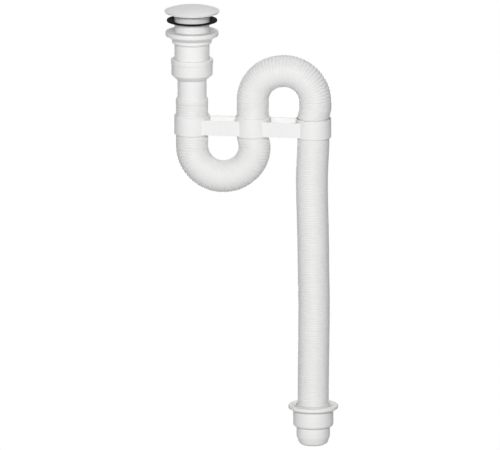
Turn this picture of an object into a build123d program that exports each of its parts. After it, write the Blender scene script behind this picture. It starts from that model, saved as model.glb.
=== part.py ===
from build123d import *
import math
import os

os.makedirs("parts", exist_ok=True)

# Frame: millimetres, +Z up, origin on the waste's axis in the plane where its flange sits on the basin.
# The three legs of the hose lie in the XZ plane, and +X points towards the outlet.

# General clearances
running_gap = 0.3
thread_gap = 0.35
seat_gap = 0.1

# Most of a wall's thickness, or of a taper's length, that the rounding of its edge takes
edge_share = 0.4
taper_share = 0.9

# Waste: flange, threaded tail and bridge
tail_r = 20.95
tail_bore_r = 18.0
tail_length = 66.0
tail_chamfer = 1.0
flange_r = 31.8
flange_t = 2.2
flange_round = 0.8
flange_bevel = 3.8
flange_bevel_rise = 1.0
throat_chamfer = 1.6
bridge_top = -10.0
bridge_height = 9.0
bridge_boss_wall = 2.4
spoke_width = 2.6
spoke_count = 3

# Stopper: domed cap, seal ring and plunger
cap_r = 32.85
cap_rim_t = 1.0
cap_rise = 5.3
cap_wall = 2.0
cap_boss_r = 6.5
cap_boss_drop = 1.8
stopper_lift = 8.0
seal_ring_r = 23.4
seal_ring_width = 3.0
groove_wall = 1.4
plunger_r = 3.5
plunger_thread_depth = 4.2

# Push cartridge in the bridge
sleeve_r = 7.0
sleeve_bore_r = 5.2
sleeve_collar_r = 9.0
sleeve_collar_t = 2.0
sleeve_drop = 36.0
sleeve_floor = 2.0
bush_flange_t = 1.5
bush_drop = 3.0
piston_t = 4.0
piston_stop_gap = 0.4
pilot_r = 2.6
pilot_drop = 5.0
spring_wire_r = 0.45
spring_turns = 7

# Rubber washer under the basin, dished so that its outer edge stands higher
washer_r = 30.1
washer_t = 2.4
washer_dish = 2.2
washer_bottom = -11.6

# Flanged backnut
backnut_top = -21.0
backnut_flange_r = 31.65
backnut_flange_t = 5.4
backnut_cone_height = 5.2
backnut_hub_r = 23.8
backnut_hub_height = 3.2
backnut_taper_height = 2.0
backnut_foot_r = 22.2
backnut_round = 1.8
backnut_flutes = 24
backnut_flute_r = 1.5
backnut_flute_depth = 0.4

# Union: nut, flat seal and the flanged inlet tail
union_engagement = 11.4
union_height = 25.0
union_r = 24.6
union_bead_r = 25.1
union_bead_height = 6.4
union_bead_round = 1.2
union_taper_height = 5.6
union_foot_r = 19.0
union_flutes = 28
union_flute_r = 1.4
union_flute_depth = 0.45
union_seal_t = 3.0
inlet_flange_r = 20.5
inlet_flange_t = 3.0
inlet_r = 17.35
inlet_length = 29.4
inlet_bore_r = 15.2
inlet_spigot_r = 15.4
inlet_spigot_length = 22.0
inlet_spigot_wall = 1.6
inlet_lead_in = 1.0

# Hose: three legs joined by two half-turn bends
hose_crest_r = 19.2
hose_root_r = 17.2
hose_bore_r = 15.5
hose_rib_pitch = 8.0
hose_cuff_r = 19.4
hose_cuff_length = 8.8
hose_end_cuff_r = 18.9
hose_end_cuff_length = 25.0
bend_r = 36.5
bottom_bend_z = -160.8
top_bend_z = -103.5

# Three-ring clip
clip_top = -123.2
clip_ring_height = 22.8
clip_wall = 1.7
clip_strap_height = 17.9
clip_strap_foot = 1.2
clip_strap_t = 2.0
clip_strap_half_span = 16.0

# Outlet connector and its seal
outlet_top = -472.8
collar_r = 29.85
collar_height = 6.0
collar_round = 1.6
collar_lip_t = 4.2
cup_r = 24.1
cup_drop = 25.0
cup_taper_height = 2.2
cup_round = 6.0
mouth_r = 22.4
mouth_depth = 22.5
mouth_chamfer = 2.3
spigot_r = 20.0
spigot_straight = 10.5
spigot_nose_height = 11.4
spigot_nose_in = 5.5
spigot_nose_round = 8.0
spigot_tip_round = 0.8
spigot_wall = 3.0
spigot_tip_wall = 1.9
outlet_seal_depth = 12.0
outlet_seal_rim_drop = 3.2
outlet_seal_stand = 1.0
outlet_seal_lip = 0.9


def turned(points):
    """Solid of revolution about Z from a closed outline of (radius, height) points."""
    return revolve(Plane.XZ * make_face(Polyline(*points, close=True)), axis=Axis.Z)


def tube(outer_r, inner_r, low, high):
    """Plain ring about Z between two heights."""
    return turned([(inner_r, low), (outer_r, low), (outer_r, high), (inner_r, high)])


def rod(radius, low, high):
    """Plain cylinder about Z between two heights."""
    return turned([(0, low), (radius, low), (radius, high), (0, high)])


def fluted(solid, count, rim_r, flute_r, depth, low, high):
    """Cut a ring of shallow upright grip flutes into a round wall."""
    flute = rod(flute_r, low, high)
    place_r = rim_r + flute_r - depth
    for place in PolarLocations(place_r, count):
        solid = solid - place * flute
    return solid


def rim_edges(solid, radius, height):
    """Round edges about Z of one radius at one height."""
    edges = solid.edges().filter_by(GeomType.CIRCLE)
    near = 0.01
    return [
        edge for edge in edges
        if abs(edge.radius - radius) < near and abs(edge.center().Z - height) < near
    ]


def node(name, solid):
    """Write one piece to its own file."""
    export_step(solid, f"parts/{name}.step")


# Heights that follow from the sizes above
flange_top = flange_t
cap_bottom = flange_top + running_gap
cap_rim_top = cap_bottom + cap_rim_t
bridge_bottom = bridge_top - bridge_height
sleeve_top = bridge_top + sleeve_collar_t
sleeve_bottom = bridge_top - sleeve_drop
bush_bottom = sleeve_top - bush_drop
piston_top = bush_bottom - stopper_lift - piston_stop_gap
piston_bottom = piston_top - piston_t
tail_end = -tail_length
union_top = tail_end + union_engagement
union_bottom = union_top - union_height
inlet_flange_top = tail_end - union_seal_t
inlet_flange_bottom = inlet_flange_top - inlet_flange_t
union_shoulder = inlet_flange_bottom - running_gap
hose_top = inlet_flange_bottom - inlet_length
clip_bottom = clip_top - clip_ring_height
middle_x = 2 * bend_r
drop_x = 4 * bend_r
mouth_floor = outlet_top - mouth_depth
hose_end = mouth_floor + running_gap
cup_bottom = outlet_top - cup_drop
spigot_top = cup_bottom - cup_taper_height
spigot_end = spigot_top - spigot_straight - spigot_nose_height


def make_waste_body():
    """Flange and threaded tail, with a spoked boss across the bore that holds the cartridge."""
    shell = turned([
        (tail_bore_r, tail_end),
        (tail_r - tail_chamfer, tail_end),
        (tail_r, tail_end + tail_chamfer),
        (tail_r, 0),
        (flange_r - flange_bevel, 0),
        (flange_r, flange_bevel_rise),
        (flange_r, flange_top),
        (tail_bore_r + throat_chamfer, flange_top),
        (tail_bore_r, flange_top - throat_chamfer),
    ])
    rounding = min(flange_round, edge_share * (flange_t - flange_bevel_rise))
    rims = rim_edges(shell, flange_r, flange_top) + rim_edges(shell, flange_r, flange_bevel_rise)
    shell = fillet(rims, rounding)
    boss_bore_r = sleeve_r + seat_gap
    boss_r = boss_bore_r + bridge_boss_wall
    boss = tube(boss_r, boss_bore_r, bridge_bottom, bridge_top)
    wall_bite = (tail_r - tail_bore_r) / 2
    spoke_inner = boss_r - bridge_boss_wall / 2
    spoke_length = tail_bore_r + wall_bite - spoke_inner
    spoke_middle = Pos(spoke_inner + spoke_length / 2, 0, (bridge_top + bridge_bottom) / 2)
    spoke = spoke_middle * Box(spoke_length, spoke_width, bridge_height)
    body = shell + boss
    for turn in range(spoke_count):
        body = body + Rot(0, 0, turn * 360 / spoke_count) * spoke
    return body


def dome(rim_r, low, rim_high, rise):
    """Lens-topped disc about Z: a short upright rim under a spherical crown."""
    sphere_r = (rim_r**2 + rise**2) / (2 * rise)
    half_angle = math.asin(rim_r / sphere_r) / 2
    crown = rim_high + rise
    middle = (sphere_r * math.sin(half_angle), crown - sphere_r * (1 - math.cos(half_angle)))
    outline = [
        Line((0, crown), (0, low)),
        Line((0, low), (rim_r, low)),
        Line((rim_r, low), (rim_r, rim_high)),
        ThreePointArc((rim_r, rim_high), middle, (0, crown)),
    ]
    return revolve(Plane.XZ * make_face(outline), axis=Axis.Z)


def make_stopper_cap():
    """Domed cap, hollow underneath, with a boss for the plunger and two ribs that hold the seal ring."""
    solid = dome(cap_r, cap_bottom, cap_rim_top, cap_rise)
    rim_round = edge_share * cap_rim_t
    solid = fillet(rim_edges(solid, cap_r, cap_bottom) + rim_edges(solid, cap_r, cap_rim_top), rim_round)
    inner_r = cap_r - cap_wall
    hollow_rim = cap_rim_top - cap_wall
    hollow = dome(inner_r, min(cap_bottom, hollow_rim) - running_gap, hollow_rim, cap_rise)
    groove_in = seal_ring_r - seal_ring_width / 2 - seat_gap
    groove_out = seal_ring_r + seal_ring_width / 2 + seat_gap
    crown = cap_rim_top + cap_rise
    hollow = hollow - tube(groove_in, groove_in - groove_wall, cap_bottom, crown)
    hollow = hollow - tube(groove_out + groove_wall, groove_out, cap_bottom, crown)
    hollow = hollow - rod(cap_boss_r, cap_bottom, crown)
    solid = solid - hollow
    boss = rod(cap_boss_r, cap_bottom - cap_boss_drop, cap_bottom + cap_wall)
    socket = rod(plunger_r + seat_gap, cap_bottom - 2 * cap_boss_drop, plunger_top())
    return solid + boss - socket


def plunger_top():
    """Height of the plunger's end inside the cap's boss."""
    return cap_bottom - cap_boss_drop + plunger_thread_depth


def seal_ring_top():
    """Height of the underside of the cap's crown over the seal ring's outer edge."""
    rim_r = cap_r - cap_wall
    sphere_r = (rim_r**2 + cap_rise**2) / (2 * cap_rise)
    edge_r = seal_ring_r + seal_ring_width / 2
    drop = sphere_r - math.sqrt(sphere_r**2 - edge_r**2)
    return cap_rim_top - cap_wall + cap_rise - drop


def make_stopper_seal():
    """Rubber ring in the cap's groove that closes on the flange."""
    inner_r = seal_ring_r - seal_ring_width / 2
    outer_r = seal_ring_r + seal_ring_width / 2
    low = flange_top + seat_gap
    return tube(outer_r, inner_r, low, seal_ring_top() - seat_gap)


def make_plunger():
    """Pin from the cap down to a piston that slides in the cartridge."""
    piston_r = sleeve_bore_r - seat_gap
    return turned([
        (0, piston_bottom - pilot_drop),
        (pilot_r, piston_bottom - pilot_drop),
        (pilot_r, piston_bottom),
        (piston_r, piston_bottom),
        (piston_r, piston_top),
        (plunger_r, piston_top),
        (plunger_r, plunger_top()),
        (0, plunger_top()),
    ])


def make_cartridge_sleeve():
    """Closed guide tube that screws into the bridge and hangs from its collar."""
    return turned([
        (0, sleeve_bottom),
        (sleeve_r, sleeve_bottom),
        (sleeve_r, bridge_top),
        (sleeve_collar_r, bridge_top),
        (sleeve_collar_r, sleeve_top),
        (sleeve_bore_r, sleeve_top),
        (sleeve_bore_r, sleeve_bottom + sleeve_floor),
        (0, sleeve_bottom + sleeve_floor),
    ])


def make_cartridge_bush():
    """Ring in the sleeve's mouth that guides the plunger and stops its piston."""
    bore_r = plunger_r + running_gap
    return turned([
        (bore_r, bush_bottom),
        (sleeve_bore_r - seat_gap, bush_bottom),
        (sleeve_bore_r - seat_gap, sleeve_top),
        (sleeve_r, sleeve_top),
        (sleeve_r, sleeve_top + bush_flange_t),
        (bore_r, sleeve_top + bush_flange_t),
    ])


def make_cartridge_spring():
    """Coil spring between the sleeve's floor and the plunger's piston."""
    low = sleeve_bottom + sleeve_floor + spring_wire_r + seat_gap
    high = piston_bottom - spring_wire_r - seat_gap
    coil_r = (pilot_r + sleeve_bore_r) / 2
    pitch = (high - low) / spring_turns
    path = Pos(0, 0, low) * Helix(pitch, high - low, coil_r)
    section = Plane(path @ 0, z_dir=path % 0) * Circle(spring_wire_r)
    return sweep(section, path=path, is_frenet=True)


def make_basin_washer():
    """Dished rubber washer, tight on the tail."""
    inner_r = tail_r + seat_gap
    return turned([
        (inner_r, washer_bottom),
        (washer_r, washer_bottom + washer_dish),
        (washer_r, washer_bottom + washer_dish + washer_t),
        (inner_r, washer_bottom + washer_t),
    ])


def make_backnut():
    """Flanged nut: a flat flange, a cone and a fluted hub."""
    rim_bottom = backnut_top - backnut_flange_t
    cone_bottom = rim_bottom - backnut_cone_height
    hub_bottom = cone_bottom - backnut_hub_height
    foot = hub_bottom - backnut_taper_height
    bore_r = tail_r + thread_gap
    solid = turned([
        (bore_r, backnut_top),
        (backnut_flange_r, backnut_top),
        (backnut_flange_r, rim_bottom),
        (backnut_hub_r, cone_bottom),
        (backnut_hub_r, hub_bottom),
        (backnut_foot_r, foot),
        (bore_r, foot),
    ])
    rims = rim_edges(solid, backnut_flange_r, backnut_top) + rim_edges(solid, backnut_flange_r, rim_bottom)
    solid = fillet(rims, min(backnut_round, edge_share * backnut_flange_t))
    return fluted(
        solid, backnut_flutes, backnut_hub_r, backnut_flute_r, backnut_flute_depth, hub_bottom, cone_bottom
    )


def make_union_nut():
    """Hand nut with a rounded bead on top, grip flutes and an inward shoulder at its foot."""
    bead_bottom = union_top - union_bead_height
    taper_top = union_bottom + union_taper_height
    thread_r = tail_r + thread_gap
    foot_bore_r = inlet_r + thread_gap
    solid = turned([
        (thread_r, union_top),
        (union_bead_r, union_top),
        (union_bead_r, bead_bottom),
        (union_r, bead_bottom),
        (union_r, taper_top),
        (union_foot_r, union_bottom),
        (foot_bore_r, union_bottom),
        (foot_bore_r, union_shoulder),
        (thread_r, union_shoulder),
    ])
    solid = fillet(rim_edges(solid, union_bead_r, union_top), union_bead_round)
    return fluted(solid, union_flutes, union_r, union_flute_r, union_flute_depth, taper_top, bead_bottom)


def make_union_seal():
    """Flat rubber washer between the tail's end and the inlet tail's flange."""
    return tube(inlet_flange_r, tail_bore_r, inlet_flange_top, tail_end)


def make_inlet_tail():
    """Flanged tube whose narrower lower end plugs into the hose."""
    spigot_bottom = hose_top - inlet_spigot_length
    spigot_bore_r = inlet_spigot_r - inlet_spigot_wall
    return turned([
        (inlet_bore_r, inlet_flange_top),
        (inlet_flange_r, inlet_flange_top),
        (inlet_flange_r, inlet_flange_bottom),
        (inlet_r, inlet_flange_bottom),
        (inlet_r, hose_top),
        (inlet_spigot_r, hose_top),
        (inlet_spigot_r, spigot_bottom + inlet_lead_in),
        (inlet_spigot_r - inlet_lead_in, spigot_bottom),
        (spigot_bore_r - inlet_lead_in / 2, spigot_bottom),
        (spigot_bore_r, hose_top),
        (inlet_bore_r, hose_top + inlet_bore_r - spigot_bore_r),
    ])


def rib_count(length):
    """Whole number of ribs that comes nearest to the pitch."""
    return max(2, round(length / hose_rib_pitch))


def hose_leg(x, high, low, cuff=None):
    """Straight ribbed leg about an upright axis. A cuff is (radius, top, bottom) of a plain stretch."""
    outline = [(hose_bore_r, high)]
    ribs_high, ribs_low = high, low
    if cuff:
        cuff_r, cuff_top, cuff_bottom = cuff
        if cuff_top == high:
            outline += [(cuff_r, cuff_top), (cuff_r, cuff_bottom)]
            ribs_high = cuff_bottom
        else:
            ribs_low = cuff_top
    count = rib_count(ribs_high - ribs_low)
    pitch = (ribs_high - ribs_low) / count
    for rib in range(count):
        top = ribs_high - rib * pitch
        outline += [(hose_root_r, top), (hose_crest_r, top - pitch / 2)]
    outline.append((hose_root_r, ribs_low))
    if ribs_low != low:
        outline += [(cuff_r, ribs_low), (cuff_r, low)]
    outline.append((hose_bore_r, low))
    return Pos(x, 0, 0) * turned(outline)


def hose_bend(centre_x, centre_z, upper):
    """Half-turn ribbed bend in the XZ plane, over the top or under the bottom."""
    count = rib_count(math.pi * bend_r)
    side = 1 if upper else -1
    sections = []
    for step in range(2 * count + 1):
        angle = math.pi * step / (2 * count)
        along = (math.sin(angle), 0, side * math.cos(angle))
        place = (centre_x - bend_r * math.cos(angle), 0, centre_z + side * bend_r * math.sin(angle))
        radius = hose_crest_r if step % 2 else hose_root_r
        sections.append(Plane(place, x_dir=(0, 1, 0), z_dir=along) * Circle(radius))
    outside = loft(sections, ruled=True)
    start = Plane((centre_x - bend_r, 0, centre_z), x_dir=(0, 1, 0), z_dir=(0, 0, side))
    turn_axis = Axis((centre_x, 0, centre_z), (0, side, 0))
    inside = revolve(start * Circle(hose_bore_r), axis=turn_axis, revolution_arc=180)
    return outside - inside


def make_hose_lower_bend():
    """Inlet leg of the corrugated hose with its cuff, and the bottom bend that holds the water seal."""
    cuff = (hose_cuff_r, hose_top, hose_top - hose_cuff_length)
    return hose_leg(0, hose_top, bottom_bend_z, cuff) + hose_bend(bend_r, bottom_bend_z, upper=False)


def make_hose_middle_leg():
    """Rising leg of the same hose, between its two bends."""
    return hose_leg(middle_x, top_bend_z, bottom_bend_z)


def make_hose_upper_bend():
    """Top bend of the same hose and the leg under it, down to the foot of the clip."""
    return hose_bend(middle_x + bend_r, top_bend_z, upper=True) + hose_leg(drop_x, top_bend_z, clip_bottom)


def make_hose_drop():
    """Long drop of the same hose, the stretch below the clip that pulls out and closes up."""
    cuff = (hose_end_cuff_r, hose_end + hose_end_cuff_length, hose_end)
    return hose_leg(drop_x, clip_bottom, hose_end, cuff)


def make_clip():
    """Three rings in a row, each pair joined by a front and a back strap."""
    ring_bore_r = hose_crest_r + running_gap
    ring_r = ring_bore_r + clip_wall
    strap_middle_z = clip_bottom + clip_strap_foot + clip_strap_height / 2
    strap_y = clip_strap_half_span - clip_strap_t / 2
    clip = None
    for x in (0, middle_x, drop_x):
        ring = Pos(x, 0, 0) * rod(ring_r, clip_bottom, clip_top)
        clip = ring if clip is None else clip + ring
    for x in (bend_r, middle_x + bend_r):
        for side in (-1, 1):
            place = Pos(x, side * strap_y, strap_middle_z)
            clip = clip + place * Box(2 * bend_r, clip_strap_t, clip_strap_height)
    for x in (0, middle_x, drop_x):
        clip = clip - Pos(x, 0, 0) * rod(ring_bore_r, clip_bottom - clip_wall, clip_top + clip_wall)
    return clip


def make_outlet_connector():
    """Collar with a rolled lip, a cup that takes the hose's end and a spigot for the drain pipe."""
    lip_bottom = outlet_top - collar_lip_t
    collar_bottom = outlet_top - collar_height
    straight_end = spigot_top - spigot_straight
    tip_r = spigot_r - spigot_nose_in
    bore_r = spigot_r - spigot_wall
    solid = turned([
        (mouth_r + mouth_chamfer, outlet_top),
        (collar_r, outlet_top),
        (collar_r, lip_bottom),
        (cup_r, collar_bottom),
        (cup_r, cup_bottom),
        (spigot_r, spigot_top),
        (spigot_r, straight_end),
        (tip_r, spigot_end),
        (tip_r - spigot_tip_wall, spigot_end),
        (bore_r, straight_end),
        (bore_r, mouth_floor),
        (mouth_r, mouth_floor),
        (mouth_r, outlet_top - mouth_chamfer),
    ])
    rims = rim_edges(solid, collar_r, outlet_top) + rim_edges(solid, collar_r, lip_bottom)
    solid = fillet(rims, min(collar_round, edge_share * collar_lip_t))
    taper = math.hypot(cup_r - spigot_r, cup_taper_height)
    half_turn = math.acos(cup_taper_height / taper) / 2
    taper_limit = taper_share * taper / math.tan(half_turn)
    solid = fillet(rim_edges(solid, cup_r, cup_bottom), min(cup_round, taper_limit))
    solid = fillet(rim_edges(solid, spigot_r, straight_end), spigot_nose_round)
    solid = fillet(rim_edges(solid, tip_r, spigot_end), spigot_tip_round)
    return Pos(drop_x, 0, 0) * solid


def make_outlet_seal():
    """Pale rubber wedge ring in the mouth, round the hose's plain end."""
    inner_r = hose_end_cuff_r + running_gap
    outer_r = mouth_r - seat_gap
    high = outlet_top + outlet_seal_stand
    rim = outlet_top - outlet_seal_rim_drop
    low = outlet_top - outlet_seal_depth
    ring = turned([
        (inner_r, low),
        (outer_r, low),
        (outer_r, rim),
        (inner_r + outlet_seal_lip, high),
        (inner_r, high),
    ])
    return Pos(drop_x, 0, 0) * ring


node("waste_body", make_waste_body())
node("stopper_cap", make_stopper_cap())
node("stopper_seal", make_stopper_seal())
node("plunger", make_plunger())
node("cartridge_sleeve", make_cartridge_sleeve())
node("cartridge_bush", make_cartridge_bush())
node("cartridge_spring", make_cartridge_spring())
node("basin_washer", make_basin_washer())
node("backnut", make_backnut())
node("union_nut", make_union_nut())
node("union_seal", make_union_seal())
node("inlet_tail", make_inlet_tail())
node("hose_lower_bend", make_hose_lower_bend())
node("hose_middle_leg", make_hose_middle_leg())
node("hose_upper_bend", make_hose_upper_bend())
node("hose_drop", make_hose_drop())
node("clip", make_clip())
node("outlet_connector", make_outlet_connector())
node("outlet_seal", make_outlet_seal())
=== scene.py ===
import math

import bmesh
import bpy
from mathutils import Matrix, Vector


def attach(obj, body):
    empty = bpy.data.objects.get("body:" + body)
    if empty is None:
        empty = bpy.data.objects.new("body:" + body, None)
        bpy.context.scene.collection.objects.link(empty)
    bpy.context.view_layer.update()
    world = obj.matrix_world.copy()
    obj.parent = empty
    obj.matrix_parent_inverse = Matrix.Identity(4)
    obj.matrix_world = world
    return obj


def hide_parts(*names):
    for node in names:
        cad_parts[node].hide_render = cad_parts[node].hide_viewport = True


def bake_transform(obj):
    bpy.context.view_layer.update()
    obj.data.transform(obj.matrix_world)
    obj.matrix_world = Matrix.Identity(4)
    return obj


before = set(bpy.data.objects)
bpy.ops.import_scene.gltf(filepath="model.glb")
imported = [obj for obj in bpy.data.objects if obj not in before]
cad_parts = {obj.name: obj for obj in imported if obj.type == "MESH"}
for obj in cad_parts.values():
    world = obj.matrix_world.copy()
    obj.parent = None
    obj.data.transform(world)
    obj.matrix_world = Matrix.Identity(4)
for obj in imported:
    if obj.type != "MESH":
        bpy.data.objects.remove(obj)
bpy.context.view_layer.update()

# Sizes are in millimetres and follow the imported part
MM = 0.001
ARC_STEP = math.radians(15)
SHARP_ANGLE = math.radians(40)
PLAIN_SEGMENTS, ROUND_SEGMENTS = 96, 112
FINE_EDGE, SMALL_EDGE, SOFT_EDGE = 0.3, 0.4, 0.5
CORNER_SHARE = 0.49
SAME_R = 1e-6
MERGE_METRES = 1e-7

# Waste and stopper
TAIL_R, TAIL_BORE_R, TAIL_END, TAIL_CHAMFER = 20.95, 18.0, -66.0, 1.0
FLANGE_R, FLANGE_TOP, FLANGE_ROUND = 31.8, 2.2, 0.48
FLANGE_BEVEL, FLANGE_BEVEL_RISE, THROAT_CHAMFER = 3.8, 1.0, 1.6
THREAD_PITCH, THREAD_DEPTH = 2.309, 0.06
THREAD_TOP, THREAD_FADE = -6.0, 3.0
THREAD_STEPS = 8
BRIDGE_TOP, BRIDGE_BOTTOM = -10.0, -19.0
BOSS_R, BOSS_BORE_R = 9.5, 7.1
SPOKE_COUNT, SPOKE_WIDTH, SPOKE_BITE_IN, SPOKE_BITE_OUT = 3, 2.6, 1.2, 1.4
BRIDGE_SEGMENTS = 48
CAP_R, CAP_BOTTOM, CAP_RIM_TOP, CAP_RISE, CAP_WALL = 32.85, 2.5, 3.5, 5.3, 2.0
GROOVE_OUT, GROOVE_IN, GROOVE_WALL = 25.0, 21.8, 1.4
CAP_BOSS_R, CAP_BOSS_LOW = 6.5, 0.7
SOCKET_R, SOCKET_TOP = 3.6, 4.9
CAP_RIM_ROUND, CAP_RIM_WIDTH, ROOF_STEP = 0.4, 1.0, 0.1
CROWN_FULLNESS = 2.6
DOME_STEPS = 24
SPRING_R, SPRING_WIRE_R, SPRING_TURNS = 3.9, 0.45, 7
SPRING_LOW, SPRING_HIGH = -43.45, -23.95
SPRING_STEPS, SPRING_RING = 28, 10

# Nuts and washer
WASHER_IN, WASHER_R, WASHER_BOTTOM, WASHER_DISH, WASHER_T = 21.05, 30.1, -11.6, 2.2, 2.4
WASHER_ROUND = 0.6
NUT_BORE_R = 21.3
BACKNUT_FLUTES, BACKNUT_FLUTE_DEPTH = 24, 0.2
BACKNUT_TOP, BACKNUT_RIM_BOTTOM, BACKNUT_RIM_R, BACKNUT_RIM_ROUND = -21.0, -26.4, 31.65, 1.8
BACKNUT_HUB_TOP, BACKNUT_HUB_BOTTOM, BACKNUT_HUB_R = -31.6, -34.8, 23.8
BACKNUT_FOOT, BACKNUT_FOOT_R = -36.8, 22.2
BACKNUT_CONE_ROUND, BACKNUT_HUB_ROUND = 0.8, 0.6
UNION_TOP, UNION_BEAD_R, UNION_BEAD_BOTTOM, UNION_BEAD_ROUND = -54.6, 25.1, -60.6, 1.6
UNION_R, UNION_WALL_TOP, UNION_TAPER_TOP, UNION_STEP_ROUND = 24.6, -61.2, -74.0, 1.0
UNION_BOTTOM, UNION_FOOT_R, UNION_FOOT_BORE_R, UNION_SHOULDER = -79.6, 19.0, 17.7, -72.3
UNION_FLUTES, UNION_FLUTE_DEPTH = 28, 0.08
UNION_GRIP_TOP, UNION_GRIP_BOTTOM = -62.0, -73.2
FLUTE_FADE, FLUTE_STEP, FLUTE_SEGMENTS, FLUTE_SHARPNESS = 1.0, 0.5, 12, 3

# Inlet tail
INLET_TOP, INLET_FLANGE_BOTTOM, INLET_FLANGE_R = -69.0, -72.0, 20.5
INLET_R, INLET_BORE_R, INLET_FUNNEL = 17.35, 15.2, 1.4
PLUG_R, PLUG_BORE_R, PLUG_LEAD_TOP, PLUG_END = 15.4, 13.8, -122.4, -123.4
PLUG_TIP_R, PLUG_TIP_BORE_R = 14.4, 13.3

# Hose
HOSE_TOP, HOSE_END = -101.4, -495.0
BOTTOM_BEND_Z, TOP_BEND_Z, BEND_R = -160.8, -103.5, 36.5
MIDDLE_X, DROP_X = 73.0, 146.0
HOSE_SPLIT_Z = -141.0
HOSE_BORE_R = 15.5
CREST_R, RIB_DEPTH, RIB_PITCH = 19.2, 0.3, 3.0
DROP_THINNING = 0.6
TOP_CUFF_R, TOP_CUFF_LENGTH = 19.4, 8.8
CUFF_LIP = 1.5
END_CUFF_R, END_CUFF_LENGTH = 18.9, 25.0
RIB_STEPS, RIB_FULLNESS = 8, 0.7
HOSE_SEGMENTS = 64
# Edges of the cuffs, as length from the cuff's end and how far the radius is below the cuff's
TOP_CUFF_SHOULDER = [(0.0, 1.9), (0.5, 1.6), (1.9, 0.7), (2.8, 0.2), (3.6, 0.0)]
TOP_CUFF_FOOT = [(0.8, 0.0), (0.2, 0.3)]
END_CUFF_STEP = [(0.3, 0.3), (1.0, 0.0)]
OUTER_RIB_GAIN = 1.5
RING_BOW_START = 7.0
# Where the bows of the bends start and are full, as shares of a bend's arc
LOW_BOW_START, TOP_BOW_START, TOP_BOW_FULL = 0.5, 0.2, 0.6
BEND_BOW, DROP_BOW_LEFT, DROP_BOW_RIGHT = 2.2, 1.8, 0.9
DROP_LEFT_Z, DROP_CROSS_Z, DROP_RIGHT_Z, DROP_TRUE_Z = -200.0, -290.0, -350.0, -465.0

# Clip
CLIP_TOP, CLIP_BOTTOM = -123.2, -146.0
RING_BORE_R, RING_R = 19.5, 21.2
STRAP_HEIGHT, STRAP_FOOT, STRAP_Y, STRAP_T = 17.9, 1.2, 15.0, 2.0
CLIP_BEVEL, CLIP_BEVEL_SEGMENTS = 0.45, 3
DRUM_SEGMENTS, CUT_REACH = 120, 2

# Outlet connector and its seal
COLLAR_TOP, COLLAR_EDGE, COLLAR_BOTTOM = -472.8, -477.0, -478.8
COLLAR_R, COLLAR_ROUND, COLLAR_NECK_ROUND = 29.85, 1.6, 1.2
CUP_R, CUP_BOTTOM, CUP_ROUND = 24.1, -497.8, 6.0
SPIGOT_R, SPIGOT_TOP, SPIGOT_END = 20.0, -500.0, -521.3
NOSE_TOP, NOSE_ROUND = -511.0, 6.0
NOSE_R, NOSE_MIDDLE, NOSE_LOW_ROUND = 17.2, -519.2, 2.5
TIP_R, TIP_BORE_R, TIP_ROUND = 14.0, 12.6, 1.0
SPIGOT_BORE_R, SPIGOT_BORE_END, SPIGOT_BORE_ROUND = 17.0, -510.5, 1.0
CUP_BORE_R, CUP_FLOOR = 22.4, -495.3
MOUTH_R, MOUTH_BOTTOM = 24.7, -475.1
SEAL_BORE_R, SEAL_R, SEAL_LIP_R = 19.2, 22.3, 20.1
SEAL_BOTTOM, SEAL_WEDGE_BOTTOM, SEAL_TOP = -484.8, -476.0, -471.8
SEAL_LIP_ROUND, SEAL_BORE_ROUND = 0.35, 0.2

# Materials: depth of the grain in metres, and how fine the noise of the patches and the grain is
GRAIN_HEIGHT = 0.0002
PATCH_DETAIL, GRAIN_DETAIL = 5.0, 3.0


def rounded(points):
    """Outline whose corners are arcs. Each point is (radius, height, rounding of that corner)."""
    outline = []
    for index, (r, z, rounding) in enumerate(points):
        if rounding == 0:
            outline.append((r, z))
            continue
        corner = Vector((r, z))
        back = Vector(points[index - 1][:2]) - corner
        ahead = Vector(points[(index + 1) % len(points)][:2]) - corner
        half = back.angle(ahead) / 2
        reach = min(rounding / math.tan(half), CORNER_SHARE * back.length, CORNER_SHARE * ahead.length)
        radius = reach * math.tan(half)
        first = corner + back.normalized() * reach
        middle = (back.normalized() + ahead.normalized()).normalized()
        centre = corner + middle * (radius / math.sin(half))
        start = math.atan2(first.y - centre.y, first.x - centre.x)
        last = corner + ahead.normalized() * reach
        sweep = math.atan2(last.y - centre.y, last.x - centre.x) - start
        sweep = (sweep + math.pi) % (2 * math.pi) - math.pi
        steps = max(2, math.ceil(abs(sweep) / ARC_STEP))
        for step in range(steps + 1):
            angle = start + sweep * step / steps
            outline.append((centre.x + radius * math.cos(angle), centre.y + radius * math.sin(angle)))
    return outline


def finished(name, verts, faces):
    """New object from millimetre points, with even normals and smooth shading between sharp edges."""
    mesh = bpy.data.meshes.new(name)
    mesh.from_pydata([(x * MM, y * MM, z * MM) for x, y, z in verts], [], faces)
    work = bmesh.new()
    work.from_mesh(mesh)
    bmesh.ops.remove_doubles(work, verts=work.verts, dist=MERGE_METRES)
    bmesh.ops.recalc_face_normals(work, faces=work.faces)
    work.to_mesh(mesh)
    work.free()
    mesh.shade_smooth()
    mesh.set_sharp_from_angle(angle=SHARP_ANGLE)
    obj = bpy.data.objects.new(name, mesh)
    bpy.context.scene.collection.objects.link(obj)
    return obj


def grid_faces(rows, columns, closed):
    """Quads between rows of a tube; closed joins the last row to the first."""
    faces = []
    for row in range(rows if closed else rows - 1):
        after = (row + 1) % rows
        for column in range(columns):
            side = (column + 1) % columns
            faces.append((
                row * columns + column,
                row * columns + side,
                after * columns + side,
                after * columns + column,
            ))
    return faces


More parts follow.
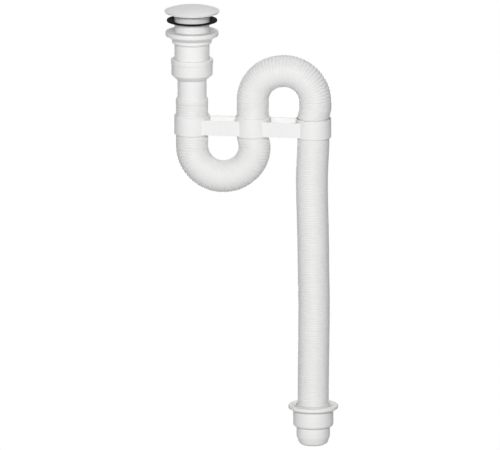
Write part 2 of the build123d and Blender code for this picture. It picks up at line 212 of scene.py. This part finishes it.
def lathe(name, outline, segments=PLAIN_SEGMENTS, form=None, x=0.0, closed=True):
    """Mesh turned about an upright axis. form(radius, height, angle) gives a point's own radius."""
    verts = []
    for r, z in outline:
        for step in range(segments):
            angle = 2 * math.pi * step / segments
            own_r = form(r, z, angle) if form else r
            verts.append((x + own_r * math.cos(angle), own_r * math.sin(angle), z))
    return finished(name, verts, grid_faces(len(outline), segments, closed))


def fade(value, start, end):
    """0 at start, 1 at end, smooth between."""
    share = min(1.0, max(0.0, (value - start) / (end - start)))
    return share * share * (3 - 2 * share)


def grip(count, depth, low, high):
    """Radius rule for shallow upright flutes between two heights."""
    def form(r, z, angle):
        if r <= NUT_BORE_R:
            return r
        strength = fade(z, low, low + FLUTE_FADE) * fade(-z, -high, -high + FLUTE_FADE)
        wave = 0.5 - 0.5 * math.cos(count * angle)
        return r - depth * strength * wave**FLUTE_SHARPNESS
    return form


def added_heights(outline, r, low, high, step):
    """Outline with more points on the upright wall of radius r between two heights."""
    dense = []
    for index, point in enumerate(outline):
        dense.append(point)
        after = outline[(index + 1) % len(outline)]
        if abs(point[0] - r) < SAME_R and abs(after[0] - r) < SAME_R:
            count = max(1, round(abs(after[1] - point[1]) / step))
            for part in range(1, count):
                z = point[1] + (after[1] - point[1]) * part / count
                if low <= z <= high:
                    dense.append((r, z))
    return dense


def thread(r, z, angle):
    """Radius rule for the tail's rounded thread."""
    if abs(r - TAIL_R) > SAME_R:
        return r
    depth = THREAD_DEPTH * fade(-z, -THREAD_TOP, -THREAD_TOP + THREAD_FADE)
    turn = z / THREAD_PITCH - angle / (2 * math.pi)
    return r - depth * (0.5 - 0.5 * math.cos(2 * math.pi * turn))


def dome_height(rim_r, rim_z, r):
    """Height of a spherical dome at a radius."""
    sphere_r = (rim_r**2 + CAP_RISE**2) / (2 * CAP_RISE)
    return rim_z + CAP_RISE - sphere_r + math.sqrt(sphere_r**2 - r**2)


def dome_radius(rim_r, rim_z, z):
    """Radius of a spherical dome at a height."""
    sphere_r = (rim_r**2 + CAP_RISE**2) / (2 * CAP_RISE)
    centre_z = rim_z + CAP_RISE - sphere_r
    return math.sqrt(sphere_r**2 - (z - centre_z)**2)


def dome_run(rim_r, rim_z, start_r, end_r):
    """Points along a spherical dome from one radius to another."""
    run = []
    for step in range(DOME_STEPS + 1):
        r = start_r + (end_r - start_r) * step / DOME_STEPS
        run.append((r, dome_height(rim_r, rim_z, r)))
    return run


def make_tail():
    """Flange and threaded tail."""
    outline = rounded([
        (TAIL_BORE_R, TAIL_END, FINE_EDGE),
        (TAIL_R - TAIL_CHAMFER, TAIL_END, FINE_EDGE),
        (TAIL_R, TAIL_END + TAIL_CHAMFER, 0.0),
        (TAIL_R, 0, 0.0),
        (FLANGE_R - FLANGE_BEVEL, 0, SMALL_EDGE),
        (FLANGE_R, FLANGE_BEVEL_RISE, FLANGE_ROUND),
        (FLANGE_R, FLANGE_TOP, FLANGE_ROUND),
        (TAIL_BORE_R + THROAT_CHAMFER, FLANGE_TOP, SOFT_EDGE),
        (TAIL_BORE_R, FLANGE_TOP - THROAT_CHAMFER, SOFT_EDGE),
    ])
    outline = added_heights(outline, TAIL_R, TAIL_END, THREAD_TOP, THREAD_PITCH / THREAD_STEPS)
    return lathe("waste_tail", outline, segments=ROUND_SEGMENTS, form=thread)


def make_bridge():
    """Boss in the tail's bore on three spokes."""
    verts = []
    outline = [
        (BOSS_BORE_R, BRIDGE_BOTTOM),
        (BOSS_R, BRIDGE_BOTTOM),
        (BOSS_R, BRIDGE_TOP),
        (BOSS_BORE_R, BRIDGE_TOP),
    ]
    for r, z in outline:
        for step in range(BRIDGE_SEGMENTS):
            angle = 2 * math.pi * step / BRIDGE_SEGMENTS
            verts.append((r * math.cos(angle), r * math.sin(angle), z))
    faces = grid_faces(len(outline), BRIDGE_SEGMENTS, True)
    inner, outer = BOSS_R - SPOKE_BITE_IN, TAIL_BORE_R + SPOKE_BITE_OUT
    for spoke in range(SPOKE_COUNT):
        angle = 2 * math.pi * spoke / SPOKE_COUNT
        along = Vector((math.cos(angle), math.sin(angle)))
        across = Vector((-along.y, along.x)) * (SPOKE_WIDTH / 2)
        base = len(verts)
        right_side = [along * inner - across, along * outer - across]
        left_side = [along * outer + across, along * inner + across]
        for z in (BRIDGE_BOTTOM, BRIDGE_TOP):
            for corner in right_side + left_side:
                verts.append((corner.x, corner.y, z))
        faces += [
            tuple(base + i for i in face)
            for face in ((3, 2, 1, 0), (4, 5, 6, 7), (0, 1, 5, 4), (1, 2, 6, 5), (2, 3, 7, 6), (3, 0, 4, 7))
        ]
    return finished("waste_bridge", verts, faces)


def crown_height(r):
    """Height of the cap's top at a radius. It is a little fuller than a sphere."""
    return CAP_RIM_TOP + CAP_RISE * (1 - (r / CAP_R) ** CROWN_FULLNESS)


def make_cap():
    """Domed cap, hollow underneath, with the plunger's boss and the seal's groove."""
    roof_r = CAP_R - CAP_WALL
    roof_z = CAP_RIM_TOP - CAP_WALL
    roof_edge_r = dome_radius(roof_r, roof_z, CAP_BOTTOM)
    rim_start_r = CAP_R - CAP_RIM_WIDTH
    outline = []
    for step in range(DOME_STEPS):
        r = rim_start_r * step / DOME_STEPS
        outline.append((r, crown_height(r)))
    outline += rounded([
        (rim_start_r, crown_height(rim_start_r), 0.0),
        (CAP_R, CAP_RIM_TOP, CAP_RIM_ROUND),
        (CAP_R, CAP_BOTTOM, CAP_RIM_ROUND),
        (roof_edge_r + ROOF_STEP, CAP_BOTTOM, 0.0),
    ])
    outline += dome_run(roof_r, roof_z, roof_edge_r, GROOVE_OUT + GROOVE_WALL)
    outline += [(GROOVE_OUT + GROOVE_WALL, CAP_BOTTOM), (GROOVE_OUT, CAP_BOTTOM)]
    outline += dome_run(roof_r, roof_z, GROOVE_OUT, GROOVE_IN)
    outline += [(GROOVE_IN, CAP_BOTTOM), (GROOVE_IN - GROOVE_WALL, CAP_BOTTOM)]
    outline += dome_run(roof_r, roof_z, GROOVE_IN - GROOVE_WALL, CAP_BOSS_R)
    outline += [(CAP_BOSS_R, CAP_BOSS_LOW), (SOCKET_R, CAP_BOSS_LOW)]
    outline += [(SOCKET_R, SOCKET_TOP), (0.0, SOCKET_TOP)]
    return lathe("cap", outline, segments=ROUND_SEGMENTS, closed=False)


def make_spring():
    """Coil spring of round wire."""
    steps = SPRING_STEPS * SPRING_TURNS
    height = SPRING_HIGH - SPRING_LOW
    slope = math.atan2(height / SPRING_TURNS, 2 * math.pi * SPRING_R)
    level, rise = math.cos(slope), math.sin(slope)
    verts = []
    for step in range(steps + 1):
        angle = 2 * math.pi * SPRING_TURNS * step / steps
        out = Vector((math.cos(angle), math.sin(angle), 0))
        along = Vector((-math.sin(angle) * level, math.cos(angle) * level, rise))
        side = along.cross(out)
        place = out * SPRING_R + Vector((0, 0, SPRING_LOW + height * step / steps))
        for part in range(SPRING_RING):
            turn = 2 * math.pi * part / SPRING_RING
            verts.append(tuple(place + SPRING_WIRE_R * (math.cos(turn) * out + math.sin(turn) * side)))
    faces = grid_faces(steps + 1, SPRING_RING, False)
    faces.append(tuple(range(SPRING_RING)))
    faces.append(tuple(range(steps * SPRING_RING, (steps + 1) * SPRING_RING)))
    return finished("spring", verts, faces)


def make_washer():
    """Dished rubber washer."""
    high = WASHER_BOTTOM + WASHER_T
    return lathe("washer", rounded([
        (WASHER_IN, WASHER_BOTTOM, FINE_EDGE),
        (WASHER_R, WASHER_BOTTOM + WASHER_DISH, WASHER_ROUND),
        (WASHER_R, high + WASHER_DISH, WASHER_ROUND),
        (WASHER_IN, high, FINE_EDGE),
    ]))


def make_backnut():
    """Flanged nut with a cone and a fluted hub."""
    outline = rounded([
        (NUT_BORE_R, BACKNUT_TOP, SMALL_EDGE),
        (BACKNUT_RIM_R, BACKNUT_TOP, BACKNUT_RIM_ROUND),
        (BACKNUT_RIM_R, BACKNUT_RIM_BOTTOM, BACKNUT_RIM_ROUND),
        (BACKNUT_HUB_R, BACKNUT_HUB_TOP, BACKNUT_CONE_ROUND),
        (BACKNUT_HUB_R, BACKNUT_HUB_BOTTOM, BACKNUT_HUB_ROUND),
        (BACKNUT_FOOT_R, BACKNUT_FOOT, SOFT_EDGE),
        (NUT_BORE_R, BACKNUT_FOOT, FINE_EDGE),
    ])
    outline = added_heights(outline, BACKNUT_HUB_R, BACKNUT_HUB_BOTTOM, BACKNUT_HUB_TOP, FLUTE_STEP)
    form = grip(BACKNUT_FLUTES, BACKNUT_FLUTE_DEPTH, BACKNUT_HUB_BOTTOM, BACKNUT_HUB_TOP)
    return lathe("flanged_backnut", outline, segments=FLUTE_SEGMENTS * BACKNUT_FLUTES, form=form)


def make_union_nut():
    """Hand nut with a rolled bead, shallow flutes and a tapered foot."""
    outline = rounded([
        (NUT_BORE_R, UNION_TOP, SMALL_EDGE),
        (UNION_BEAD_R, UNION_TOP, UNION_BEAD_ROUND),
        (UNION_BEAD_R, UNION_BEAD_BOTTOM, UNION_STEP_ROUND),
        (UNION_R, UNION_WALL_TOP, SOFT_EDGE),
        (UNION_R, UNION_TAPER_TOP, UNION_BEAD_ROUND),
        (UNION_FOOT_R, UNION_BOTTOM, UNION_STEP_ROUND),
        (UNION_FOOT_BORE_R, UNION_BOTTOM, FINE_EDGE),
        (UNION_FOOT_BORE_R, UNION_SHOULDER, 0.0),
        (NUT_BORE_R, UNION_SHOULDER, 0.0),
    ])
    outline = added_heights(outline, UNION_R, UNION_GRIP_BOTTOM, UNION_GRIP_TOP, FLUTE_STEP)
    form = grip(UNION_FLUTES, UNION_FLUTE_DEPTH, UNION_GRIP_BOTTOM, UNION_GRIP_TOP)
    return lathe("hand_union_nut", outline, segments=FLUTE_SEGMENTS * UNION_FLUTES, form=form)


def make_inlet():
    """Flanged inlet tube and the narrower end inside the hose."""
    return lathe("inlet_tube", rounded([
        (INLET_BORE_R, INLET_TOP, 0.0),
        (INLET_FLANGE_R, INLET_TOP, FINE_EDGE),
        (INLET_FLANGE_R, INLET_FLANGE_BOTTOM, FINE_EDGE),
        (INLET_R, INLET_FLANGE_BOTTOM, SMALL_EDGE),
        (INLET_R, HOSE_TOP, 0.0),
        (PLUG_R, HOSE_TOP, 0.0),
        (PLUG_R, PLUG_LEAD_TOP, SMALL_EDGE),
        (PLUG_TIP_R, PLUG_END, 0.0),
        (PLUG_TIP_BORE_R, PLUG_END, 0.0),
        (PLUG_BORE_R, HOSE_TOP, 0.0),
        (INLET_BORE_R, HOSE_TOP + INLET_FUNNEL, 0.0),
    ]))


ARC = math.pi * BEND_R
LOW_BEND_START = HOSE_TOP - BOTTOM_BEND_Z
LOW_BEND_END = LOW_BEND_START + ARC
TOP_BEND_START = LOW_BEND_END + TOP_BEND_Z - BOTTOM_BEND_Z
TOP_BEND_END = TOP_BEND_START + ARC


def bow(s):
    """Sideways stray of the hose's line at a length from its top end. It is 0 in the clip's rings."""
    low = fade(s, LOW_BEND_START + ARC * LOW_BOW_START, LOW_BEND_END)
    low *= 1 - fade(s, LOW_BEND_END, LOW_BEND_END + CLIP_BOTTOM - BOTTOM_BEND_Z)
    top = fade(s, TOP_BEND_START + ARC * TOP_BOW_START, TOP_BEND_START + ARC * TOP_BOW_FULL)
    top *= 1 - fade(s, TOP_BEND_END + RING_BOW_START, TOP_BEND_END + TOP_BEND_Z - CLIP_TOP)
    z = TOP_BEND_Z - (s - TOP_BEND_END)
    left = fade(z, CLIP_BOTTOM, DROP_LEFT_Z) * (1 - fade(z, DROP_LEFT_Z, DROP_CROSS_Z))
    right = fade(z, DROP_CROSS_Z, DROP_RIGHT_Z) * (1 - fade(z, DROP_RIGHT_Z, DROP_TRUE_Z))
    return BEND_BOW * (low + top) - DROP_BOW_LEFT * left + DROP_BOW_RIGHT * right


def turn_of(s):
    """1 in the top bend, -1 in the bottom bend and 0 on the legs."""
    if LOW_BEND_START < s < LOW_BEND_END:
        return -1
    return 1 if TOP_BEND_START < s < TOP_BEND_END else 0


def hose_place(s):
    """Centre and direction of the hose's line at a length from its top end."""
    if s <= LOW_BEND_START:
        return Vector((0, 0, HOSE_TOP - s)), Vector((0, 0, -1))
    if s <= LOW_BEND_END:
        angle = (s - LOW_BEND_START) / BEND_R
        centre = Vector((BEND_R, 0, BOTTOM_BEND_Z))
        along = Vector((math.sin(angle), 0, -math.cos(angle)))
        return centre + BEND_R * Vector((-math.cos(angle), 0, -math.sin(angle))), along
    if s <= TOP_BEND_START:
        return Vector((MIDDLE_X, 0, BOTTOM_BEND_Z + s - LOW_BEND_END)), Vector((0, 0, 1))
    if s <= TOP_BEND_END:
        angle = (s - TOP_BEND_START) / BEND_R
        centre = Vector((MIDDLE_X + BEND_R, 0, TOP_BEND_Z))
        along = Vector((math.sin(angle), 0, math.cos(angle)))
        return centre + BEND_R * Vector((-math.cos(angle), 0, math.sin(angle))), along
    return Vector((DROP_X, 0, TOP_BEND_Z - (s - TOP_BEND_END))), Vector((0, 0, -1))


def rib_profile(start, end, thinning):
    """(length, radius) pairs of the ribbed wall between two lengths, from groove to groove."""
    count = round((end - start) / RIB_PITCH)
    profile = []
    for step in range(count * RIB_STEPS + 1):
        share = step / (count * RIB_STEPS)
        crest = abs(math.sin(math.pi * step / RIB_STEPS)) ** RIB_FULLNESS
        r = CREST_R - thinning * share - RIB_DEPTH * (1 - crest)
        profile.append((start + (end - start) * share, r))
    return profile


def hose_piece(name, profile):
    """Tube along the hose's line from (length, radius) pairs, with a plain bore."""
    first, last = profile[0][0], profile[-1][0]
    bore_steps = round((last - first) / RIB_PITCH)
    bore = [(last + (first - last) * step / bore_steps, HOSE_BORE_R) for step in range(bore_steps + 1)]
    verts = []
    for s, r in profile + bore:
        place, along = hose_place(s)
        place = place + Vector((bow(s), 0, 0))
        side = Vector((-along.z, 0, along.x))
        groove = CREST_R - r if r > HOSE_BORE_R else 0.0
        for step in range(HOSE_SEGMENTS):
            angle = 2 * math.pi * step / HOSE_SEGMENTS
            outer = max(0.0, math.cos(angle) * turn_of(s))
            own_r = r - OUTER_RIB_GAIN * outer * groove
            out = math.cos(angle) * side + math.sin(angle) * Vector((0, 1, 0))
            verts.append(tuple(place + own_r * out))
    return finished(name, verts, grid_faces(len(profile) + len(bore), HOSE_SEGMENTS, True))


def make_hose():
    """The bends, which end inside the clip's third ring, and the drop from there to the connector."""
    split = TOP_BEND_END + TOP_BEND_Z - HOSE_SPLIT_Z
    end = split + HOSE_SPLIT_Z - HOSE_END
    cuff = [(0.0, HOSE_BORE_R + CUFF_LIP)]
    cuff += [(length, TOP_CUFF_R - less) for length, less in TOP_CUFF_SHOULDER]
    cuff += [(TOP_CUFF_LENGTH - length, TOP_CUFF_R - less) for length, less in TOP_CUFF_FOOT]
    bends = hose_piece("hose_bends", cuff + rib_profile(TOP_CUFF_LENGTH, split, 0.0))
    ribs_end = end - END_CUFF_LENGTH
    plain = [(ribs_end + length, END_CUFF_R - less) for length, less in END_CUFF_STEP]
    plain += [(end - SOFT_EDGE, END_CUFF_R), (end, END_CUFF_R - SOFT_EDGE)]
    drop = hose_piece("hose_drop", rib_profile(split, ribs_end, DROP_THINNING) + plain)
    return bends, drop


def block(name, low, high):
    """Plain box between two corners."""
    verts = [(x, y, z) for x in (low[0], high[0]) for y in (low[1], high[1]) for z in (low[2], high[2])]
    faces = [(0, 1, 3, 2), (4, 6, 7, 5), (0, 4, 5, 1), (2, 3, 7, 6), (0, 2, 6, 4), (1, 5, 7, 3)]
    return finished(name, verts, faces)


def drum(name, x, radius, low, high):
    """Plain cylinder about an upright axis."""
    outline = [(0.0, low), (radius, low), (radius, high), (0.0, high)]
    return lathe(name, outline, segments=DRUM_SEGMENTS, x=x, closed=False)


def combined(base, tools, operation):
    """Mesh of the base with each tool joined to it or cut from it."""
    for tool in tools:
        step = base.modifiers.new(operation, "BOOLEAN")
        step.operation = operation
        step.solver = "EXACT"
        step.object = tool
    applied(base)
    for tool in tools:
        bpy.data.objects.remove(tool)


def applied(obj):
    """Make the object's modifiers part of its mesh."""
    depsgraph = bpy.context.evaluated_depsgraph_get()
    mesh = bpy.data.meshes.new_from_object(obj.evaluated_get(depsgraph))
    obj.modifiers.clear()
    obj.data = mesh


def make_clip():
    """Three rings in a row joined by front and back straps."""
    strap_low = CLIP_BOTTOM + STRAP_FOOT
    clip = drum("hose_clip", 0.0, RING_R, CLIP_BOTTOM, CLIP_TOP)
    parts = [drum("ring", x, RING_R, CLIP_BOTTOM, CLIP_TOP) for x in (MIDDLE_X, DROP_X)]
    for x in (BEND_R, MIDDLE_X + BEND_R):
        for y in (-STRAP_Y, STRAP_Y):
            low = (x - BEND_R, y - STRAP_T / 2, strap_low)
            high = (x + BEND_R, y + STRAP_T / 2, strap_low + STRAP_HEIGHT)
            parts.append(block("strap", low, high))
    combined(clip, parts, "UNION")
    low, high = CLIP_BOTTOM - CUT_REACH, CLIP_TOP + CUT_REACH
    bores = [drum("bore", x, RING_BORE_R, low, high) for x in (0.0, MIDDLE_X, DROP_X)]
    combined(clip, bores, "DIFFERENCE")
    bevel = clip.modifiers.new("bevel", "BEVEL")
    bevel.width = CLIP_BEVEL * MM
    bevel.segments = CLIP_BEVEL_SEGMENTS
    bevel.limit_method = "ANGLE"
    bevel.angle_limit = SHARP_ANGLE
    applied(clip)
    clip.data.shade_smooth()
    clip.data.set_sharp_from_angle(angle=SHARP_ANGLE)
    return clip


def make_connector():
    """Collar with a rolled lip, cup and spigot."""
    return lathe("connector", rounded([
        (MOUTH_R, COLLAR_TOP, SOFT_EDGE),
        (COLLAR_R, COLLAR_TOP, COLLAR_ROUND),
        (COLLAR_R, COLLAR_EDGE, COLLAR_ROUND),
        (CUP_R, COLLAR_BOTTOM, COLLAR_NECK_ROUND),
        (CUP_R, CUP_BOTTOM, CUP_ROUND),
        (SPIGOT_R, SPIGOT_TOP, SOFT_EDGE),
        (SPIGOT_R, NOSE_TOP, NOSE_ROUND),
        (NOSE_R, NOSE_MIDDLE, NOSE_LOW_ROUND),
        (TIP_R, SPIGOT_END, TIP_ROUND),
        (TIP_BORE_R, SPIGOT_END, FINE_EDGE),
        (SPIGOT_BORE_R, SPIGOT_BORE_END, SPIGOT_BORE_ROUND),
        (SPIGOT_BORE_R, CUP_FLOOR, 0.0),
        (CUP_BORE_R, CUP_FLOOR, FINE_EDGE),
        (CUP_BORE_R, MOUTH_BOTTOM, FINE_EDGE),
    ]), x=DROP_X, segments=ROUND_SEGMENTS)


def make_seal():
    """Pale wedge ring in the connector's mouth."""
    return lathe("mouth_seal", rounded([
        (SEAL_BORE_R, SEAL_BOTTOM, 0.0),
        (SEAL_R, SEAL_BOTTOM, 0.0),
        (SEAL_R, SEAL_WEDGE_BOTTOM, FINE_EDGE),
        (SEAL_LIP_R, SEAL_TOP, SEAL_LIP_ROUND),
        (SEAL_BORE_R, SEAL_TOP, SEAL_BORE_ROUND),
    ]), x=DROP_X)


def surface(name, pale, dark, patch_scale, roughness, roughness_spread, grain_scale, grain, specular):
    """Material with slight colour patches, uneven sheen and a fine grain."""
    material = bpy.data.materials.new(name)
    material.use_nodes = True
    nodes = material.node_tree.nodes
    links = material.node_tree.links
    shader = nodes["Principled BSDF"]
    shader.inputs["Specular IOR Level"].default_value = specular
    place = nodes.new("ShaderNodeTexCoord")
    patches = nodes.new("ShaderNodeTexNoise")
    patches.inputs["Scale"].default_value = patch_scale
    patches.inputs["Detail"].default_value = PATCH_DETAIL
    colours = nodes.new("ShaderNodeMix")
    colours.data_type = "RGBA"
    colours.inputs["A"].default_value = (*dark, 1)
    colours.inputs["B"].default_value = (*pale, 1)
    sheen = nodes.new("ShaderNodeMapRange")
    sheen.inputs["To Min"].default_value = roughness - roughness_spread
    sheen.inputs["To Max"].default_value = roughness + roughness_spread
    fine = nodes.new("ShaderNodeTexNoise")
    fine.inputs["Scale"].default_value = grain_scale
    fine.inputs["Detail"].default_value = GRAIN_DETAIL
    bump = nodes.new("ShaderNodeBump")
    bump.inputs["Strength"].default_value = grain
    bump.inputs["Distance"].default_value = GRAIN_HEIGHT
    links.new(place.outputs["Object"], patches.inputs["Vector"])
    links.new(place.outputs["Object"], fine.inputs["Vector"])
    links.new(patches.outputs["Fac"], colours.inputs["Factor"])
    links.new(patches.outputs["Fac"], sheen.inputs["Value"])
    links.new(colours.outputs["Result"], shader.inputs["Base Color"])
    links.new(sheen.outputs["Result"], shader.inputs["Roughness"])
    links.new(fine.outputs["Fac"], bump.inputs["Height"])
    links.new(bump.outputs["Normal"], shader.inputs["Normal"])
    return material


def dress(obj, material, body=None):
    """Give a piece its material, its slot and, where it rides on one, its body."""
    obj.data.materials.clear()
    obj.data.materials.append(material)
    if body:
        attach(obj, body)


white = surface(
    "white_plastic",
    pale=(0.92, 0.92, 0.915),
    dark=(0.87, 0.87, 0.865),
    patch_scale=70.0,
    roughness=0.46,
    roughness_spread=0.05,
    grain_scale=1800.0,
    grain=0.10,
    specular=0.3,
)
hose_white = surface(
    "hose_plastic",
    pale=(0.88, 0.88, 0.875),
    dark=(0.83, 0.83, 0.825),
    patch_scale=60.0,
    roughness=0.48,
    roughness_spread=0.06,
    grain_scale=1500.0,
    grain=0.12,
    specular=0.3,
)
rubber = surface(
    "black_rubber",
    pale=(0.008, 0.008, 0.009),
    dark=(0.004, 0.004, 0.005),
    patch_scale=180.0,
    roughness=0.7,
    roughness_spread=0.08,
    grain_scale=2200.0,
    grain=0.25,
    specular=0.06,
)
pale_rubber = surface(
    "pale_rubber",
    pale=(0.74, 0.74, 0.72),
    dark=(0.66, 0.66, 0.64),
    patch_scale=120.0,
    roughness=0.55,
    roughness_spread=0.08,
    grain_scale=2200.0,
    grain=0.2,
    specular=0.3,
)
steel = surface(
    "spring_steel",
    pale=(0.62, 0.62, 0.62),
    dark=(0.5, 0.5, 0.5),
    patch_scale=200.0,
    roughness=0.3,
    roughness_spread=0.06,
    grain_scale=2500.0,
    grain=0.1,
    specular=0.5,
)
steel.node_tree.nodes["Principled BSDF"].inputs["Metallic"].default_value = 1.0

tail = make_tail()
dress(tail, white, "trap")
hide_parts("waste_body")
bridge = make_bridge()
dress(bridge, white, "trap")
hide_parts("waste_body")
cap = make_cap()
dress(cap, white, "stopper")
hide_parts("stopper_cap")
spring = make_spring()
dress(spring, steel)
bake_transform(spring)
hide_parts("cartridge_spring")
washer = make_washer()
dress(washer, rubber, "trap")
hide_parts("basin_washer")
backnut = make_backnut()
dress(backnut, white, "backnut")
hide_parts("backnut")
union_nut = make_union_nut()
dress(union_nut, white, "union_nut")
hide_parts("union_nut")
inlet = make_inlet()
dress(inlet, white, "trap")
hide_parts("inlet_tail")
bends, drop = make_hose()
dress(bends, hose_white, "trap")
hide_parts("hose_lower_bend", "hose_middle_leg", "hose_upper_bend")
dress(drop, hose_white)
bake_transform(drop)
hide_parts("hose_drop")
clip = make_clip()
dress(clip, white, "trap")
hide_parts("clip")
connector = make_connector()
dress(connector, white, "outlet")
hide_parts("outlet_connector")
seal = make_seal()
dress(seal, pale_rubber, "outlet")
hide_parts("outlet_seal")

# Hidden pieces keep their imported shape
finishes = {
    "plunger": white,
    "cartridge_sleeve": white,
    "cartridge_bush": white,
    "stopper_seal": rubber,
    "union_seal": rubber,
}
for node_name, material in finishes.items():
    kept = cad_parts[node_name]
    kept.data.materials.clear()
    kept.data.materials.append(material)


def background_share(tree):
    """1 where a ray shows the background to the camera, straight, mirrored or through glass."""
    path = tree.nodes.new("ShaderNodeLightPath")
    direct = tree.nodes.new("ShaderNodeMath")
    direct.operation = "MAXIMUM"
    tree.links.new(path.outputs["Is Camera Ray"], direct.inputs[0])
    tree.links.new(path.outputs["Is Glossy Ray"], direct.inputs[1])
    share = tree.nodes.new("ShaderNodeMath")
    share.operation = "MAXIMUM"
    tree.links.new(direct.outputs[0], share.inputs[0])
    tree.links.new(path.outputs["Is Transmission Ray"], share.inputs[1])
    return share.outputs[0]


# White background and soft surrounding light
ROOM_LIGHT = 0.19
world = bpy.data.worlds.new("studio")
world.use_nodes = True
bpy.context.scene.world = world
tree = world.node_tree
tree.nodes.clear()
output = tree.nodes.new("ShaderNodeOutputWorld")
room = tree.nodes.new("ShaderNodeBackground")
room.inputs["Color"].default_value = (1, 1, 1, 1)
room.inputs["Strength"].default_value = ROOM_LIGHT
backdrop = tree.nodes.new("ShaderNodeBackground")
backdrop.inputs["Color"].default_value = (1, 1, 1, 1)
backdrop.inputs["Strength"].default_value = 1.0
mix = tree.nodes.new("ShaderNodeMixShader")
tree.links.new(background_share(tree), mix.inputs[0])
tree.links.new(room.outputs[0], mix.inputs[1])
tree.links.new(backdrop.outputs[0], mix.inputs[2])
tree.links.new(mix.outputs[0], output.inputs["Surface"])

# Pale floor well below the hanging part
FLOOR_Z = -2.6
FLOOR_HALF = 6.0
FLOOR_GREY = (0.6, 0.6, 0.6, 1)
floor_mesh = bpy.data.meshes.new("floor")
floor_mesh.from_pydata(
    [
        (-FLOOR_HALF, -FLOOR_HALF, FLOOR_Z),
        (FLOOR_HALF, -FLOOR_HALF, FLOOR_Z),
        (FLOOR_HALF, FLOOR_HALF, FLOOR_Z),
        (-FLOOR_HALF, FLOOR_HALF, FLOOR_Z),
    ],
    [],
    [(0, 1, 2, 3)],
)
floor = bpy.data.objects.new("floor", floor_mesh)
bpy.context.scene.collection.objects.link(floor)
floor_finish = bpy.data.materials.new("floor")
floor_finish.use_nodes = True
tree = floor_finish.node_tree
tree.nodes.clear()
output = tree.nodes.new("ShaderNodeOutputMaterial")
paint = tree.nodes.new("ShaderNodeBsdfDiffuse")
paint.inputs["Color"].default_value = FLOOR_GREY
glow = tree.nodes.new("ShaderNodeEmission")
glow.inputs["Color"].default_value = (1, 1, 1, 1)
glow.inputs["Strength"].default_value = 1.0
mix = tree.nodes.new("ShaderNodeMixShader")
tree.links.new(background_share(tree), mix.inputs[0])
tree.links.new(paint.outputs[0], mix.inputs[1])
tree.links.new(glow.outputs[0], mix.inputs[2])
tree.links.new(mix.outputs[0], output.inputs["Surface"])
floor_mesh.materials.append(floor_finish)


LAMP_AIM = Vector((0.07, 0, -0.26))


def lamp(name, direction, distance, size, power):
    """Square soft lamp that faces the middle of the part."""
    data = bpy.data.lights.new(name, "AREA")
    data.size = size
    data.energy = power
    obj = bpy.data.objects.new(name, data)
    obj.location = LAMP_AIM + Vector(direction).normalized() * distance
    obj.rotation_euler = (LAMP_AIM - obj.location).to_track_quat("-Z", "Y").to_euler()
    bpy.context.scene.collection.objects.link(obj)


lamp("key", direction=(0.10, -1.0, 0.46), distance=5.0, size=1.2, power=170.0)
lamp("low_fill", direction=(0.0, -1.0, -0.45), distance=4.0, size=1.2, power=14.0)
lamp("rear", direction=(0.1, 0.6, 1.0), distance=5.0, size=2.0, power=46.0)
lamp("back_fill", direction=(-0.14, 1.0, -0.3), distance=5.0, size=2.0, power=90.0)

# Camera: nearly parallel view from the front, a little above and to the right
ELEVATION = math.radians(12.5)
YAW = math.radians(8.0)
CAMERA_DISTANCE = 20.0
METRES_PER_PIXEL = 0.00119
ORIGIN_PIXEL = (192.0, 13.3)
FRAME_WIDTH, FRAME_HEIGHT = 500, 450
SENSOR = 36.0
towards_camera = Vector((
    math.sin(YAW) * math.cos(ELEVATION),
    -math.cos(YAW) * math.cos(ELEVATION),
    math.sin(ELEVATION),
))
right = Vector((math.cos(YAW), math.sin(YAW), 0))
up = towards_camera.cross(right)
target = (
    right * (FRAME_WIDTH / 2 - ORIGIN_PIXEL[0]) * METRES_PER_PIXEL
    - up * (FRAME_HEIGHT / 2 - ORIGIN_PIXEL[1]) * METRES_PER_PIXEL
)
camera_data = bpy.data.cameras.new("camera")
camera_data.sensor_width = SENSOR
camera_data.lens = SENSOR * CAMERA_DISTANCE / (FRAME_WIDTH * METRES_PER_PIXEL)
camera = bpy.data.objects.new("camera", camera_data)
camera.location = target + towards_camera * CAMERA_DISTANCE
camera.rotation_euler = (-towards_camera).to_track_quat("-Z", "Y").to_euler()
bpy.context.scene.collection.objects.link(camera)
bpy.context.scene.camera = camera
bpy.context.scene.view_settings.view_transform = "Standard"
